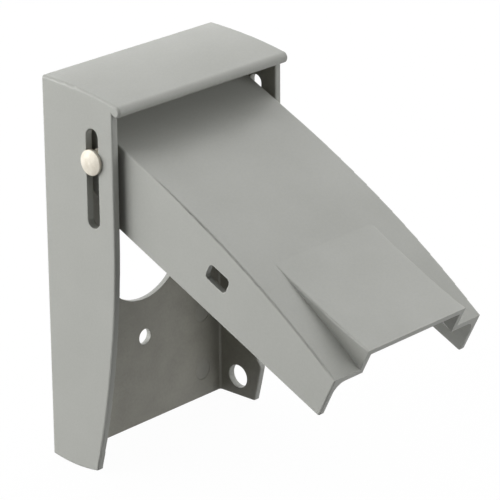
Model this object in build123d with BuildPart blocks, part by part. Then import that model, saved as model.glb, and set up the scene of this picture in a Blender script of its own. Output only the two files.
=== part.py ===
from build123d import *
import math
import os

os.makedirs("parts", exist_ok=True)

# Weatherproof flip cover for one outlet, in millimetres.
# A cast hood stands over the outlet, and a cast lid swings and slides on two rivets in the hood's side walls.
# X runs across, Y runs back towards the building and Z is up. The origin is the middle of the outlet opening,
# at the back face of the plate. Depths are measured forwards from that face, and the rim stands behind it.

# Hood walls
hood_width = 71.4
hood_depth = 25.4
side_wall = 2.4
outlet_to_top = 60.3
outlet_to_bottom = 58.0
foot_depth = 16.1
curve_height = 17.6
wall_edge_radius = 0.5

# Bowed foot of the left wall: how far it drops in the middle, and how far its two ends rise
foot_bow = 0.6
foot_front_rise = 0.1
foot_rear_rise = 0.5

# Roof with its round lip
roof_thickness = 2.4
roof_fall = 3.4
roof_front_slope = 12.0
roof_edge_radius = 0.8
lip_diameter = 3.5
lip_overhang = 3.0
lip_end_chamfer = 0.5

# Back plate and the rim behind it
plate_thickness = 1.8
rim_depth = 2.1
rim_width = 2.4
rim_edge_radius = 0.9
plate_corner_radius = 0.8
outlet_diameter = 35.72
screw_spacing = 60.32
screw_hole_diameter = 5.1
ejector_diameter = 6.3
ejector_depth = 0.15
ejector_across = 25.3
ejector_heights = (-49.1, -29.9)

# Slots that the rivets run in
slot_width = 4.8
slot_length = 30.0
slot_bottom = 18.4
slot_inset = 8.1

# Padlock ear at the foot of the right wall, with the finger notch above it
padlock_hole_diameter = 7.6
padlock_height = -51.8
padlock_depth = 9.25
notch_bottom = -46.3
notch_length = 24.0
notch_depth = 3.0
notch_ramp = 4.5
notch_radius = 1.5

# Rivets, at the height where the photograph shows them
rivet_height = 38.5
rivet_head_diameter = 7.6
rivet_head_height = 1.5
rivet_head_edge = 0.8
shank_clearance = 0.1
collar_diameter = 6.6
tenon_diameter = 3.8
tenon_clearance = 0.1
peen_diameter = 5.8
peen_height = 0.9
peen_taper = 0.5
rivet_play = 0.1

# Lid. Its own line runs from the rivets to the free end, and its face stands out from that line
lid_open_angle = 64.2
lid_side_gap = 1.3
lid_wall = 1.8
lid_inset = 0.1
lid_end_inset = 0.4
lid_overhang = 1.3
lid_plate_gap = 0.4
face_straight = 18.0
lid_edge_radius = 0.5
lid_inner_radius = 3.5
drum_bulge = 1.8
heel_run = 14.0
tip_radius = 0.8

# Raised middle panel of the lid
panel_width = 42.6
panel_start = 49.5
panel_sink = 0.3
panel_end_face = 5.3
panel_edge_radius = 0.5

# Opening in the lid's left flange
window_length = 8.2
window_height = 5.0
window_along = 50.9
window_drop = 3.45
window_radius = 1.4

# Worked out from the sizes above
half_width = hood_width / 2
inner_half = half_width - side_wall
front_drop = hood_depth - foot_depth
front_rise = curve_height + outlet_to_bottom
front_radius = (front_rise**2 + front_drop**2) / (2 * front_drop)
lip_radius = lip_diameter / 2
lip_centre = Vector(lip_radius - hood_depth - lip_overhang, outlet_to_top - roof_fall - lip_radius)
roof_slope = math.radians(roof_front_slope)
roof_normal = Vector(-math.sin(roof_slope), math.cos(roof_slope))
roof_direction = Vector(math.cos(roof_slope), math.sin(roof_slope))
roof_front = lip_centre + roof_normal * lip_radius
roof_rear = Vector(rim_depth, outlet_to_top)
roof_under_front = roof_front - roof_normal * roof_thickness
roof_under_rear = roof_rear - Vector(0, roof_thickness)
slot_depth = hood_depth - slot_inset
slot_centre_height = slot_bottom + slot_length / 2
flat = 0.001

lid_half = inner_half - lid_side_gap
lid_face = slot_inset - lid_inset
drum_radius = lid_face + drum_bulge
lid_end_face = foot_depth - slot_depth - lid_end_inset
lid_length = rivet_height + outlet_to_bottom + lid_overhang
flange_drop = slot_depth - plate_thickness - lid_plate_gap
face_run = lid_length - face_straight
face_drop = lid_face - lid_end_face
face_radius = (face_run**2 + face_drop**2) / (2 * face_drop)


def front_edge(height):
    """Depth of the curved front edge of a side wall, as a Y value."""
    fall = curve_height - height
    return front_radius - hood_depth - math.sqrt(front_radius**2 - fall**2)


def face_height(along):
    """How far the lid's curved face stands out from its line, at a distance from the rivets."""
    run = along - face_straight
    return lid_face - face_radius + math.sqrt(face_radius**2 - run**2)


# Lip along the front of the roof, with its ends broken by a chamfer
with BuildPart() as lip:
    with BuildSketch(Plane.YZ):
        with Locations(lip_centre):
            Circle(lip_radius)
    extrude(amount=half_width, both=True)
    chamfer(lip.edges().filter_by(GeomType.CIRCLE), lip_end_chamfer)

# Roof, drawn from the side, with round edges where it meets the side walls
with BuildPart() as roof:
    with BuildSketch(Plane.YZ):
        with BuildLine():
            upper = TangentArc(roof_front, roof_rear, tangent=roof_direction)
            lower = TangentArc(roof_under_front, roof_under_rear, tangent=roof_direction)
            Line(upper @ 1, lower @ 1)
            Line(lower @ 0, upper @ 0)
        make_face()
    extrude(amount=half_width, both=True)
    fillet(roof.edges().filter_by(GeomType.CIRCLE).sort_by(Axis.Z)[-2:], roof_edge_radius)
    add(lip.part)

# Side walls, drawn from the side. Their tops end inside the roof
with BuildPart() as walls:
    for side in (-1, 1):
        with BuildSketch(Plane.YZ.offset(side * (half_width - side_wall / 2))) as wall_outline:
            with BuildLine():
                roof_line = TangentArc(lip_centre, roof_under_rear, tangent=roof_direction)
                if side < 0:
                    foot = ThreePointArc(
                        (rim_depth, foot_rear_rise - outlet_to_bottom),
                        (-foot_depth / 2, -foot_bow - outlet_to_bottom),
                        (-foot_depth, foot_front_rise - outlet_to_bottom),
                    )
                else:
                    foot = Line((rim_depth, -outlet_to_bottom), (-foot_depth, -outlet_to_bottom))
                Line(roof_line @ 1, foot @ 0)
                front = TangentArc((-hood_depth, curve_height), foot @ 1, tangent=(0, -1))
                upright = Line(front @ 0, (-hood_depth, lip_centre.Y))
                Line(upright @ 1, roof_line @ 0)
            make_face()

            # Finger notch above the padlock ear, in the right wall alone
            if side > 0:
                ear_point = Vector(front_edge(notch_bottom), notch_bottom)
                upper_point = Vector(front_edge(notch_bottom + notch_length), notch_bottom + notch_length)
                ear_corner = ear_point + Vector(notch_depth, notch_ramp)
                upper_corner = upper_point + Vector(notch_depth, -notch_ramp)
                with BuildLine():
                    Polyline(
                        (-2 * hood_depth, ear_point.Y),
                        ear_point,
                        ear_corner,
                        upper_corner,
                        upper_point,
                        (-2 * hood_depth, upper_point.Y),
                        close=True,
                    )
                make_face(mode=Mode.SUBTRACT)
                for corner in (ear_point, ear_corner, upper_corner, upper_point):
                    fillet(wall_outline.vertices().sort_by_distance(corner)[0], notch_radius)
        extrude(amount=side_wall / 2, both=True)
    wall_edges = walls.edges().filter_by(lambda edge: edge.bounding_box().size.X < flat)
    front_edges = wall_edges.filter_by(lambda edge: edge.center().Y < -foot_depth / 2)
    fillet(front_edges.filter_by(lambda edge: edge.center().Z < lip_centre.Y - lip_radius), wall_edge_radius)

# Housing: side walls, back plate, rim and roof, cast as one piece
with BuildPart() as housing:
    add(walls.part)

    # Back plate, with rounded inside corners and the rim below it
    with BuildSketch(Plane.XZ):
        with Locations((0, (outlet_to_top - roof_thickness / 2 - outlet_to_bottom) / 2)):
            Rectangle(2 * inner_half + side_wall, outlet_to_top - roof_thickness / 2 + outlet_to_bottom)
    extrude(amount=plate_thickness)
    plate_edges = housing.edges().filter_by(lambda edge: abs(edge.center().Y + plate_thickness) < flat)
    fillet(plate_edges.filter_by(Axis.Z).sort_by(Edge.length)[-2:], plate_corner_radius)
    with BuildSketch(Plane.YZ) as rim_outline:
        with Locations((rim_depth / 2, -outlet_to_bottom + rim_width / 2)):
            Rectangle(rim_depth, rim_width)
        fillet(rim_outline.vertices().group_by(Axis.Y)[0].sort_by(Axis.X)[-1], rim_edge_radius)
    extrude(amount=inner_half, both=True)

    add(roof.part)

    # Rivet slots
    for side in (-1, 1):
        with BuildSketch(Plane.YZ.offset(side * (half_width - side_wall / 2))):
            with Locations((-slot_depth, slot_centre_height)):
                SlotOverall(slot_length, slot_width, rotation=90)
        extrude(amount=side_wall, both=True, mode=Mode.SUBTRACT)

    # Padlock hole
    with BuildSketch(Plane.YZ.offset(half_width - side_wall / 2)):
        with Locations((-padlock_depth, padlock_height)):
            Circle(padlock_hole_diameter / 2)
    extrude(amount=side_wall, both=True, mode=Mode.SUBTRACT)

    # Outlet opening and screw holes
    with BuildSketch(Plane.XZ):
        Circle(outlet_diameter / 2)
        with Locations((0, screw_spacing / 2), (0, -screw_spacing / 2)):
            Circle(screw_hole_diameter / 2)
    extrude(amount=plate_thickness, mode=Mode.SUBTRACT)

    # Round marks that the ejector pins left in the casting
    with BuildSketch(Plane.XZ.offset(plate_thickness)):
        with Locations(*[(ejector_across, height) for height in ejector_heights]):
            Circle(ejector_diameter / 2)
    extrude(amount=-ejector_depth, mode=Mode.SUBTRACT)

housing.part.label = "housing"
export_step(housing.part, "parts/housing.step")

# The lid is drawn on a plane through the rivets, with x along the lid and y out of its face
open_turn = math.radians(lid_open_angle)
lid_plane = Plane(
    origin=(0, -slot_depth, rivet_height),
    x_dir=(0, -math.sin(open_turn), -math.cos(open_turn)),
    z_dir=(-1, 0, 0),
)
face_turn = math.degrees(math.asin(face_run / face_radius))
drum_back = -math.sqrt(drum_radius**2 - lid_face**2)
heel = Vector(heel_run, -flange_drop)
heel_turn = math.atan2(heel.Y, heel.X) - math.acos(drum_radius / heel.length)
drum_foot = Vector(math.cos(heel_turn), math.sin(heel_turn)) * drum_radius
panel_half = panel_width / 2
panel_slope = math.asin((panel_start - face_straight) / face_radius)
panel_direction = Vector(math.cos(panel_slope), -math.sin(panel_slope))
panel_normal = Vector(math.sin(panel_slope), math.cos(panel_slope))
panel_foot = Vector(panel_start, face_height(panel_start))
hollow_overrun = 1.0

# Raised panel, as a block that reaches into the lid
with BuildPart() as panel:
    with BuildSketch(lid_plane):
        with BuildLine():
            crest = TangentArc(
                panel_foot - panel_normal * panel_sink, (lid_length, panel_end_face), tangent=panel_direction
            )
            Polyline(crest @ 1, (lid_length, lid_end_face - lid_wall), (panel_start, lid_end_face), crest @ 0)
        make_face()
    extrude(amount=panel_half, both=True)
    fillet(panel.edges().filter_by(GeomType.CIRCLE), panel_edge_radius)

# What is hollow under the face, and under the panel. The hollow's curve runs past the free end
with BuildPart() as face_hollow:
    with BuildSketch(lid_plane):
        with BuildLine():
            inner_drum = drum_radius - lid_wall
            inner_face = lid_face - lid_wall
            start = Vector(-math.sqrt(inner_drum**2 - inner_face**2), inner_face)
            ceiling = Line(start, (face_straight, inner_face))
            curve = JernArc(ceiling @ 1, (1, 0), face_radius - lid_wall, -face_turn - hollow_overrun)
            drum_middle = (start + Vector(-inner_drum, 0)).normalized() * inner_drum
            drum = ThreePointArc(start, drum_middle, (-inner_drum, 0))
            Polyline(
                curve @ 1,
                ((curve @ 1).X, -2 * flange_drop),
                (-2 * inner_drum, -2 * flange_drop),
                (-2 * inner_drum, 0),
                drum @ 1,
            )
        make_face()
    extrude(amount=lid_half - lid_wall, both=True)
    fillet(
        face_hollow.edges().filter_by(GeomType.CIRCLE).filter_by(lambda edge: edge.length > face_run / 2),
        lid_inner_radius,
    )

with BuildPart() as panel_hollow:
    with BuildSketch(lid_plane):
        with BuildLine():
            under = TangentArc(
                panel_foot - panel_normal * (lid_wall + panel_sink),
                (lid_length, panel_end_face - lid_wall),
                tangent=panel_direction,
            )
            Polyline(
                under @ 1,
                (lid_length + lid_wall, panel_end_face - lid_wall),
                (lid_length + lid_wall, -2 * flange_drop),
                (panel_start, -2 * flange_drop),
                under @ 0,
            )
        make_face()
    extrude(amount=panel_half - lid_wall, both=True)

# Lid: curved face, two flanges, rounded upper end and raised panel, cast as one piece
with BuildPart() as lid:
    with BuildSketch(lid_plane) as lid_outline:
        with BuildLine():
            face = Line((drum_back, lid_face), (face_straight, lid_face))
            curve = JernArc(face @ 1, (1, 0), face_radius, -face_turn)
            end = Line(curve @ 1, (lid_length, -flange_drop))
            back = Line(end @ 1, heel)
            Line(back @ 1, drum_foot)
            ThreePointArc(drum_foot, (-drum_radius, 0), face @ 0)
        make_face()
        fillet(lid_outline.vertices().sort_by_distance(end @ 1)[0], tip_radius)
    extrude(amount=lid_half, both=True)
    fillet(
        lid.edges().filter_by(lambda edge: edge.bounding_box().size.X < flat).sort_by(Edge.length)[-4:],
        lid_edge_radius,
    )
    add(panel.part)
    add(face_hollow.part, mode=Mode.SUBTRACT)
    add(panel_hollow.part, mode=Mode.SUBTRACT)

    # Window in the left flange and padlock hole in the right one
    with BuildSketch(lid_plane.offset(lid_half)):
        with Locations((window_along, -window_drop)):
            RectangleRounded(window_length, window_height, window_radius)
    extrude(amount=-2 * lid_wall, mode=Mode.SUBTRACT)
    with BuildSketch(lid_plane.offset(-lid_half)):
        with Locations((rivet_height - padlock_height, padlock_depth - slot_depth)):
            Circle(padlock_hole_diameter / 2)
    extrude(amount=2 * lid_wall, mode=Mode.SUBTRACT)

    # Rivet holes
    with BuildSketch(lid_plane):
        Circle(tenon_diameter / 2 + tenon_clearance)
    extrude(amount=lid_half, both=True, mode=Mode.SUBTRACT)

lid.part.label = "lid"
export_step(lid.part, "parts/lid.step")


def shoulder_rivet(side):
    """A rivet from its head outside the wall, through the slot and the lid's flange, to its peened end."""
    rivet_plane = Plane(origin=(0, -slot_depth, rivet_height), x_dir=(side, 0, 0), z_dir=(0, -side, 0))
    head_seat = half_width + rivet_play
    head_top = head_seat + rivet_head_height
    collar_out = inner_half - rivet_play
    collar_in = lid_half + rivet_play
    peen_seat = lid_half - lid_wall - rivet_play
    with BuildPart() as rivet:
        with BuildSketch(rivet_plane):
            with BuildLine():
                stem = Polyline(
                    (peen_seat - peen_height, 0),
                    (peen_seat - peen_height, peen_diameter / 2 - peen_taper),
                    (peen_seat - peen_taper, peen_diameter / 2),
                    (peen_seat, peen_diameter / 2),
                    (peen_seat, tenon_diameter / 2),
                    (collar_in, tenon_diameter / 2),
                    (collar_in, collar_diameter / 2),
                    (collar_out, collar_diameter / 2),
                    (collar_out, slot_width / 2 - shank_clearance),
                    (head_seat, slot_width / 2 - shank_clearance),
                    (head_seat, rivet_head_diameter / 2),
                    (head_seat + rivet_head_edge, rivet_head_diameter / 2),
                )
                dome = TangentArc((head_top, 0), stem @ 1, tangent=(0, 1))
                Line(dome @ 0, stem @ 0)
            make_face()
        revolve(axis=Axis((0, -slot_depth, rivet_height), (1, 0, 0)))
    return rivet.part


for rivet_name, side in (("left_rivet", -1), ("right_rivet", 1)):
    rivet_part = shoulder_rivet(side)
    rivet_part.label = rivet_name
    export_step(rivet_part, f"parts/{rivet_name}.step")
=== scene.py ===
import math

import bpy
from mathutils import Euler, Matrix, Vector


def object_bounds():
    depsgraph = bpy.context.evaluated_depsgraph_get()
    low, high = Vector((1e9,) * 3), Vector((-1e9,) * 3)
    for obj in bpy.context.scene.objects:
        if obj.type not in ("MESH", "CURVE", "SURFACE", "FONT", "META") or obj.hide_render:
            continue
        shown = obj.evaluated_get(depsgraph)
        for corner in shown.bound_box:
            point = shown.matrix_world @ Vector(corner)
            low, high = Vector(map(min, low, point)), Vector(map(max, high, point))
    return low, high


# Looks of a cast, grey-painted flip cover for one outlet: paint on the hood and the lid, bare metal on the rivets,
# a white studio and the photograph's camera. Lengths are in metres, angles in degrees and colours are linear.

# Camera, as the photograph was taken
PHOTO_SIDE = 500
FOCAL_PIXELS = 2964.5
SENSOR_WIDTH = 36.0
CAMERA_PLACE = (-0.5940, -0.5837, 0.3113)
CAMERA_AZIMUTH = 47.79
CAMERA_DROP = 20.68
CAMERA_ROLL = -0.41

# Grey paint, rougher where its clouds and specks are. The higher the number of clouds, specks, waves or grain, the
# finer they are
PAINT = (0.425, 0.431, 0.402, 1.0)
PAINT_SHADE = (0.385, 0.390, 0.362, 1.0)
PAINT_CLOUDS = 55.0
PAINT_CLOUD_SHARE = 0.35
PAINT_SPECKS = 1400.0
PAINT_SPECK_SHARE = 0.30
PAINT_ROUGHNESS = (0.46, 0.60)
PAINT_SPECULAR = 0.4
PAINT_WAVES = 110.0
PAINT_GRAIN = 2200.0
PAINT_GRAIN_SHARE = 0.3
PAINT_BUMP = 0.35
PAINT_BUMP_HEIGHT = 0.00012

# Edges of the castings, painted shade along the hood's edges and creases and a painted highlight along the lid's:
# the width of the line along them, and how round they look
HOOD_EDGE_PAINTED_SHADE = (0.345, 0.347, 0.320, 1.0)
LID_EDGE_PAINTED_HIGHLIGHT = (0.530, 0.533, 0.500, 1.0)
HOOD_EDGE_LINE = 0.00035
HOOD_ROUNDING = 0.0005
LID_EDGE_LINE = 0.0007
LID_ROUNDING = 0.0003
EDGE_SHARPNESS = 3.0
EDGE_SAMPLES = 4
ROUNDING_SAMPLES = 6

# Painted shade inside the hood: a darker, warmer colour with clouds and upright streaks, and smoother paint
INSIDE_PAINTED_SHADE = (0.400, 0.393, 0.344, 1.0)
INSIDE_PAINTED_SHADE_DARK = (0.255, 0.248, 0.214, 1.0)
INSIDE_CLOUDS = 130.0
INSIDE_CLOUD_SHARE = 0.35
INSIDE_SPECKS = 1100.0
INSIDE_SPECK_SHARE = 0.25
INSIDE_STREAKS = 50.0
INSIDE_STREAK_SHARE = 0.35
INSIDE_SMOOTHER = 0.08

# Space inside the hood: up to the walls' inner faces and the roof's underside, and between the plate's face and the
# walls' front edges
INSIDE_HALF_WIDTH = 0.0334
INSIDE_TOP = 0.0545
INSIDE_BACK = -0.00170
INSIDE_FRONT = -0.0250
INSIDE_FADE = 0.0002

# Bare metal of the rivets
RIVET_METAL = (0.77, 0.73, 0.64, 1.0)
RIVET_TARNISH = (0.60, 0.55, 0.45, 1.0)
RIVET_CLOUDS = 420.0
RIVET_CLOUD_SHARE = 0.6
RIVET_SPECKS = 3200.0
RIVET_SPECK_SHARE = 0.25
RIVET_METALLIC = 0.25
RIVET_ROUGHNESS = 0.62
RIVET_WAVES = 500.0
RIVET_GRAIN = 3500.0
RIVET_GRAIN_SHARE = 0.4
RIVET_BUMP = 0.3
RIVET_BUMP_HEIGHT = 0.0001
RIVET_ROUNDING = 0.0003

# Noise: the middle of its range, which is stretched to a full mask, and how far streaks are drawn out upright
NOISE_MIDDLE = (0.35, 0.65)
UPRIGHT = (1.0, 1.0, 0.12)

# Studio. The floor is seen as white, and gives the object a faint light from below
FLOOR_SIDE = 6.0
FLOOR_GAP = 0.0002
FLOOR_WHITE_SHARE = 0.97
FLOOR_SEEN = (0.9, 0.9, 0.9, 1.0)
FLOOR_BOUNCE = (0.02, 0.02, 0.02, 1.0)
FLOOR_LIGHT = 0.12
FLOOR_ROUGHNESS = 0.9
WHITE = (1.0, 1.0, 1.0, 1.0)

# Lamps, all at one distance. Each has its azimuth (0 in front, 90 on the right), its height angle and its watts
LAMP_TARGET = Vector((0.0, -0.03, 0.0))
LAMP_DISTANCE = 1.3
LAMP_SIDE = 0.8
LAMPS = (
    ("rear_left_low", 210, 8, 11.8),
    ("left_low", 240, 8, 5.8),
    ("left_middle", 240, 25, 7.0),
    ("rear_top", 150, 76, 2.8),
    ("rear_right_high", 150, 60, 1.2),
    ("rear_right_low", 150, 8, 2.2),
    ("right_low", 120, 8, 3.1),
    ("right_top", 120, 60, 1.1),
    ("right_middle", 90, 25, 1.6),
    ("right_high", 90, 42, 3.4),
    ("front_right_low", 30, 8, 6.0),
    ("front_low", 0, 8, 1.3),
    ("front_right_middle", 30, 42, 0.4),
    ("front_middle", 0, 42, 0.6),
    ("front_high", 0, 60, 1.0),
    ("top", 0, 89, 0.5),
)


def principled(name):
    """A new material with its Principled shader, as (material, node tree, shader)."""
    material = bpy.data.materials.new(name)
    material.use_nodes = True
    return material, material.node_tree, material.node_tree.nodes["Principled BSDF"]


def new_group(name, inputs, outputs):
    """An empty shader node group with named sockets, as (group, input node, output node)."""
    group = bpy.data.node_groups.new(name, "ShaderNodeTree")
    for label, kind, value in inputs:
        socket = group.interface.new_socket(label, in_out="INPUT", socket_type=kind)
        socket.default_value = value
    for label, kind in outputs:
        group.interface.new_socket(label, in_out="OUTPUT", socket_type=kind)
    return group, group.nodes.new("NodeGroupInput"), group.nodes.new("NodeGroupOutput")


def place_group(tree, group, **values):
    """The group as a node, with its own values by socket name."""
    node = tree.nodes.new("ShaderNodeGroup")
    node.node_tree = group
    for label, value in values.items():
        node.inputs[label.replace("_", " ")].default_value = value
    return node


def feed(tree, value, socket):
    """Links an output to the socket, or sets the socket to a plain number or colour."""
    if isinstance(value, bpy.types.NodeSocket):
        tree.links.new(value, socket)
    else:
        socket.default_value = value


def calculate(tree, operation, *values, clamp=False):
    """The result of one operation on outputs or plain numbers."""
    node = tree.nodes.new("ShaderNodeMath")
    node.operation = operation
    node.use_clamp = clamp
    for value, socket in zip(values, node.inputs):
        feed(tree, value, socket)
    return node.outputs[0]


def spread(tree, value, low, high, to_low=0.0, to_high=1.0):
    """The value, with its range from low to high stretched to another range."""
    stretch = tree.nodes.new("ShaderNodeMapRange")
    stretch.inputs["From Min"].default_value = low
    stretch.inputs["From Max"].default_value = high
    stretch.inputs["To Min"].default_value = to_low
    stretch.inputs["To Max"].default_value = to_high
    tree.links.new(value, stretch.inputs["Value"])
    return stretch.outputs["Result"]


def mix_colours(tree, share, first, second):
    """The first colour, and the second where the share is 1."""
    blend = tree.nodes.new("ShaderNodeMix")
    blend.data_type = "RGBA"
    feed(tree, share, blend.inputs["Factor"])
    feed(tree, first, blend.inputs["A"])
    feed(tree, second, blend.inputs["B"])
    return blend.outputs["Result"]


def noise(group, scale, detail, roughness=0.5, stretch=(1.0, 1.0, 1.0)):
    """A noise on object coordinates, inside a group, drawn out along an axis whose stretch is below 1."""
    coordinates = group.nodes.new("ShaderNodeTexCoord")
    mapping = group.nodes.new("ShaderNodeMapping")
    mapping.inputs["Scale"].default_value = stretch
    texture = group.nodes.new("ShaderNodeTexNoise")
    texture.inputs["Detail"].default_value = detail
    texture.inputs["Roughness"].default_value = roughness
    group.links.new(coordinates.outputs["Object"], mapping.inputs["Vector"])
    group.links.new(mapping.outputs["Vector"], texture.inputs["Vector"])
    group.links.new(scale, texture.inputs["Scale"])
    return texture.outputs["Fac"]


def mottle_group():
    """Cloudy variation between two colours, with a share of fine specks."""
    colour = "NodeSocketColor"
    number = "NodeSocketFloat"
    group, given, made = new_group(
        "mottle",
        [("Base", colour, PAINT), ("Shade", colour, PAINT_SHADE),
         ("Cloud Scale", number, PAINT_CLOUDS), ("Speck Scale", number, PAINT_SPECKS),
         ("Cloud Share", number, PAINT_CLOUD_SHARE), ("Speck Share", number, PAINT_SPECK_SHARE)],
        [("Color", colour), ("Mask", number)],
    )
    clouds = spread(group, noise(group, given.outputs["Cloud Scale"], 4.0), *NOISE_MIDDLE)
    specks = spread(group, noise(group, given.outputs["Speck Scale"], 2.0, 0.6), *NOISE_MIDDLE)
    cloudy = calculate(group, "MULTIPLY", clouds, given.outputs["Cloud Share"])
    specked = calculate(group, "MULTIPLY", specks, given.outputs["Speck Share"])
    mask = calculate(group, "ADD", cloudy, specked, clamp=True)
    mottled = mix_colours(group, mask, given.outputs["Base"], given.outputs["Shade"])
    group.links.new(mottled, made.inputs["Color"])
    group.links.new(mask, made.inputs["Mask"])
    return group


def ripple_group():
    """Height of a cast surface: slow waves of the die and the fine grain of what covers it."""
    number = "NodeSocketFloat"
    group, given, made = new_group(
        "cast_ripple",
        [("Wave Scale", number, PAINT_WAVES), ("Grain Scale", number, PAINT_GRAIN),
         ("Grain Share", number, PAINT_GRAIN_SHARE)],
        [("Height", number)],
    )
    blend = group.nodes.new("ShaderNodeMix")
    group.links.new(given.outputs["Grain Share"], blend.inputs["Factor"])
    group.links.new(noise(group, given.outputs["Wave Scale"], 2.0), blend.inputs["A"])
    group.links.new(noise(group, given.outputs["Grain Scale"], 3.0, 0.6), blend.inputs["B"])
    group.links.new(blend.outputs["Result"], made.inputs["Height"])
    return group


def edge_group():
    """Where an edge turns within a small radius: 0 on flats and towards 1 at the corner."""
    number = "NodeSocketFloat"
    group, given, made = new_group(
        "edge_finder",
        [("Radius", number, HOOD_EDGE_LINE), ("Sharpness", number, EDGE_SHARPNESS)],
        [("Edge", number)],
    )
    bevel = group.nodes.new("ShaderNodeBevel")
    bevel.samples = EDGE_SAMPLES
    group.links.new(given.outputs["Radius"], bevel.inputs["Radius"])
    geometry = group.nodes.new("ShaderNodeNewGeometry")
    dot = group.nodes.new("ShaderNodeVectorMath")
    dot.operation = "DOT_PRODUCT"
    group.links.new(bevel.outputs["Normal"], dot.inputs[0])
    group.links.new(geometry.outputs["Normal"], dot.inputs[1])
    turned = calculate(group, "SUBTRACT", 1.0, dot.outputs["Value"])
    edge = calculate(group, "MULTIPLY", turned, given.outputs["Sharpness"], clamp=True)
    group.links.new(edge, made.inputs["Edge"])
    return group


def inside_group():
    """Where the surface lies inside the hood: 1 on the plate's face and the walls' inner faces, 0 outside."""
    group, _, made = new_group("inside_hood", [], [("Inside", "NodeSocketFloat")])
    coordinates = group.nodes.new("ShaderNodeTexCoord")
    place = group.nodes.new("ShaderNodeSeparateXYZ")
    group.links.new(coordinates.outputs["Object"], place.inputs["Vector"])
    aside = calculate(group, "ABSOLUTE", place.outputs["X"])
    limits = (
        (aside, INSIDE_HALF_WIDTH, INSIDE_FADE),
        (place.outputs["Y"], INSIDE_BACK, INSIDE_FADE),
        (place.outputs["Y"], INSIDE_FRONT, -INSIDE_FADE),
        (place.outputs["Z"], INSIDE_TOP, INSIDE_FADE),
    )
    inside = 1.0
    for value, limit, fade in limits:
        inside = calculate(group, "MULTIPLY", inside, spread(group, value, limit + fade, limit))
    group.links.new(inside, made.inputs["Inside"])
    return group


def streak_group():
    """Upright streaks, as paint or metal runs in a deep die: a mask from 0 to 1."""
    number = "NodeSocketFloat"
    group, given, made = new_group("upright_streaks", [("Scale", number, INSIDE_STREAKS)], [("Streak", number)])
    streaks = noise(group, given.outputs["Scale"], 3.0, stretch=UPRIGHT)
    group.links.new(spread(group, streaks, *NOISE_MIDDLE), made.inputs["Streak"])
    return group


def bump(tree, height, strength, distance, radius):
    """The normal of a bump over edges rounded by the radius."""
    rounded = tree.nodes.new("ShaderNodeBevel")
    rounded.samples = ROUNDING_SAMPLES
    rounded.inputs["Radius"].default_value = radius
    relief = tree.nodes.new("ShaderNodeBump")
    relief.inputs["Strength"].default_value = strength
    relief.inputs["Distance"].default_value = distance
    tree.links.new(height, relief.inputs["Height"])
    tree.links.new(rounded.outputs["Normal"], relief.inputs["Normal"])
    return relief.outputs["Normal"]


def inside_painted_shade_colour(tree, groups):
    """Painted shade inside the hood: a darker, warmer colour, cloudy and with upright streaks."""
    clouds = place_group(tree, groups["mottle"], Base=INSIDE_PAINTED_SHADE, Shade=INSIDE_PAINTED_SHADE_DARK,
                         Cloud_Scale=INSIDE_CLOUDS, Cloud_Share=INSIDE_CLOUD_SHARE,
                         Speck_Scale=INSIDE_SPECKS, Speck_Share=INSIDE_SPECK_SHARE)
    streaks = place_group(tree, groups["streaks"], Scale=INSIDE_STREAKS)
    share = calculate(tree, "MULTIPLY", streaks.outputs["Streak"], INSIDE_STREAK_SHARE)
    return mix_colours(tree, share, clouds.outputs["Color"], INSIDE_PAINTED_SHADE_DARK)


def casting_paint(groups, name, edge_colour, edge_line, rounding, shade_inside):
    """Satin grey paint on a casting, with the given colour painted along its edges, as shade on the hood and as a
    highlight on the lid, and, where asked, painted shade inside the hood.
    """
    material, tree, shader = principled(name)
    mottle = place_group(tree, groups["mottle"], Base=PAINT, Shade=PAINT_SHADE,
                         Cloud_Scale=PAINT_CLOUDS, Cloud_Share=PAINT_CLOUD_SHARE,
                         Speck_Scale=PAINT_SPECKS, Speck_Share=PAINT_SPECK_SHARE)
    edge = place_group(tree, groups["edge"], Radius=edge_line, Sharpness=EDGE_SHARPNESS)
    # Painted edge colour: shade along the hood's edges and creases, a highlight along the lid's edges
    colour = mix_colours(tree, edge.outputs["Edge"], mottle.outputs["Color"], edge_colour)
    roughness = spread(tree, mottle.outputs["Mask"], 0.0, 1.0, *PAINT_ROUGHNESS)
    # Painted shade inside the hood: a darker, warmer colour there, and smoother paint
    if shade_inside:
        inside = place_group(tree, groups["inside"]).outputs["Inside"]
        colour = mix_colours(tree, inside, colour, inside_painted_shade_colour(tree, groups))
        roughness = calculate(tree, "MULTIPLY_ADD", inside, -INSIDE_SMOOTHER, roughness)
    tree.links.new(colour, shader.inputs["Base Color"])
    tree.links.new(roughness, shader.inputs["Roughness"])
    shader.inputs["Specular IOR Level"].default_value = PAINT_SPECULAR
    ripple = place_group(tree, groups["ripple"], Wave_Scale=PAINT_WAVES, Grain_Scale=PAINT_GRAIN,
                         Grain_Share=PAINT_GRAIN_SHARE)
    normal = bump(tree, ripple.outputs["Height"], PAINT_BUMP, PAINT_BUMP_HEIGHT, rounding)
    tree.links.new(normal, shader.inputs["Normal"])
    return material


def rivet_metal(groups):
    """Pale bare metal with a dull, slightly tarnished skin."""
    material, tree, shader = principled("rivet_metal")
    mottle = place_group(tree, groups["mottle"], Base=RIVET_METAL, Shade=RIVET_TARNISH,
                         Cloud_Scale=RIVET_CLOUDS, Cloud_Share=RIVET_CLOUD_SHARE,
                         Speck_Scale=RIVET_SPECKS, Speck_Share=RIVET_SPECK_SHARE)
    tree.links.new(mottle.outputs["Color"], shader.inputs["Base Color"])
    shader.inputs["Metallic"].default_value = RIVET_METALLIC
    shader.inputs["Roughness"].default_value = RIVET_ROUGHNESS
    ripple = place_group(tree, groups["ripple"], Wave_Scale=RIVET_WAVES, Grain_Scale=RIVET_GRAIN,
                         Grain_Share=RIVET_GRAIN_SHARE)
    normal = bump(tree, ripple.outputs["Height"], RIVET_BUMP, RIVET_BUMP_HEIGHT, RIVET_ROUNDING)
    tree.links.new(normal, shader.inputs["Normal"])
    return material


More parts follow.
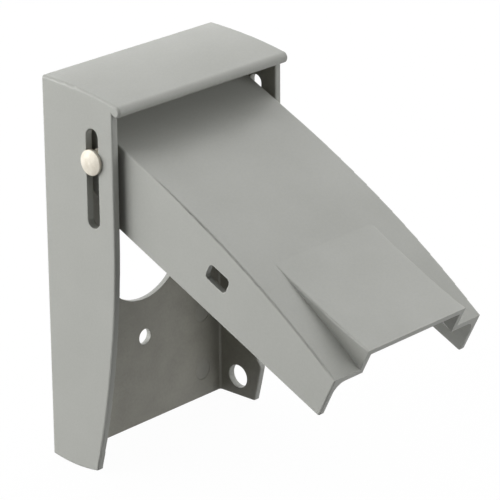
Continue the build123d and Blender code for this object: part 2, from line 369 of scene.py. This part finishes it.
def finish_pieces(frame):
    """Gives the hood's casting, the lid and the two rivets their finishes."""
    groups = {"mottle": mottle_group(), "ripple": ripple_group(), "edge": edge_group(),
              "inside": inside_group(), "streaks": streak_group()}
    metal = rivet_metal(groups)
    finishes = {
        # The hood gets painted shade along its edges and inside, the lid a painted highlight along its edges
        "housing": casting_paint(groups, "hood_paint", HOOD_EDGE_PAINTED_SHADE, HOOD_EDGE_LINE, HOOD_ROUNDING, shade_inside=True),
        "lid": casting_paint(groups, "lid_paint", LID_EDGE_PAINTED_HIGHLIGHT, LID_EDGE_LINE, LID_ROUNDING, shade_inside=False),
        "left_rivet": metal,
        "right_rivet": metal,
    }
    for name, finish in finishes.items():
        for place in frame["nodes"][name].material_slots:
            place.material = finish


def seen_by_eye(tree):
    """1 for rays that show the background: from the camera, off gloss or through glass."""
    path = tree.nodes.new("ShaderNodeLightPath")
    seen = path.outputs["Is Camera Ray"]
    for kind in ("Is Glossy Ray", "Is Transmission Ray"):
        seen = calculate(tree, "MAXIMUM", seen, path.outputs[kind])
    return seen


def white_floor(height):
    """A floor that is seen as white with a trace of the object's shadow, and that lights little from below."""
    bpy.ops.mesh.primitive_plane_add(size=FLOOR_SIDE, location=(0, 0, height))
    floor = bpy.context.object
    floor.name = "studio_floor"
    material, tree, shader = principled("studio_floor")
    seen = seen_by_eye(tree)
    tree.links.new(mix_colours(tree, seen, FLOOR_BOUNCE, FLOOR_SEEN), shader.inputs["Base Color"])
    shader.inputs["Roughness"].default_value = FLOOR_ROUGHNESS
    shader.inputs["Emission Color"].default_value = WHITE
    shader.inputs["Emission Strength"].default_value = FLOOR_LIGHT
    glow = tree.nodes.new("ShaderNodeEmission")
    mix = tree.nodes.new("ShaderNodeMixShader")
    tree.links.new(calculate(tree, "MULTIPLY", seen, FLOOR_WHITE_SHARE), mix.inputs["Fac"])
    tree.links.new(shader.outputs["BSDF"], mix.inputs[1])
    tree.links.new(glow.outputs["Emission"], mix.inputs[2])
    tree.links.new(mix.outputs["Shader"], tree.nodes["Material Output"].inputs["Surface"])
    floor.data.materials.append(material)


def studio_world():
    """White where it is seen, with no light of its own on the object."""
    world = bpy.data.worlds.new("studio")
    bpy.context.scene.world = world
    world.use_nodes = True
    background = world.node_tree.nodes["Background"]
    background.inputs["Color"].default_value = WHITE
    world.node_tree.links.new(seen_by_eye(world.node_tree), background.inputs["Strength"])


def softbox(name, place, target, side, power):
    """A square area lamp that faces the target."""
    lamp = bpy.data.lights.new(name, "AREA")
    lamp.shape = "SQUARE"
    lamp.size = side
    lamp.energy = power
    holder = bpy.data.objects.new(name, lamp)
    holder.location = place
    holder.rotation_euler = (target - place).to_track_quat("-Z", "Y").to_euler()
    bpy.context.scene.collection.objects.link(holder)


def studio_lamps():
    """Softboxes all around the object, the strongest of them low behind its left side."""
    for name, azimuth, height, power in LAMPS:
        turn, rise = math.radians(azimuth), math.radians(height)
        way = Vector((math.sin(turn) * math.cos(rise), -math.cos(turn) * math.cos(rise), math.sin(rise)))
        softbox(name, LAMP_TARGET + way * LAMP_DISTANCE, LAMP_TARGET, LAMP_SIDE, power)


def photo_camera():
    """The camera that the photograph was taken with."""
    lens = bpy.data.cameras.new("photo_camera")
    lens.sensor_width = SENSOR_WIDTH
    lens.lens = FOCAL_PIXELS * SENSOR_WIDTH / PHOTO_SIDE
    camera = bpy.data.objects.new("photo_camera", lens)
    turn = Euler((math.radians(90 - CAMERA_DROP), 0, math.radians(-CAMERA_AZIMUTH))).to_matrix()
    turn = turn @ Matrix.Rotation(math.radians(CAMERA_ROLL), 3, "Z")
    camera.matrix_world = Matrix.Translation(CAMERA_PLACE) @ turn.to_4x4()
    bpy.context.scene.collection.objects.link(camera)
    bpy.context.scene.camera = camera


def as_lists(corners):
    """Two corners as plain lists of numbers."""
    return [[float(value) for value in corner] for corner in corners]


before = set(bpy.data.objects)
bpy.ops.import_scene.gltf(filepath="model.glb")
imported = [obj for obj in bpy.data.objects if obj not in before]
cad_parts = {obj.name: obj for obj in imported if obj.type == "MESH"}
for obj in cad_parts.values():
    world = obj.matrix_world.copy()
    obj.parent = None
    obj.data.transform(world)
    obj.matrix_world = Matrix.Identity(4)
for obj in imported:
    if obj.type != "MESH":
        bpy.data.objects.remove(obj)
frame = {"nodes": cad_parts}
cad_box = as_lists(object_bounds())
finish_pieces(frame)
white_floor(cad_box[0][2] - FLOOR_GAP)
studio_world()
studio_lamps()
photo_camera()
bpy.context.scene.view_settings.view_transform = "Standard"
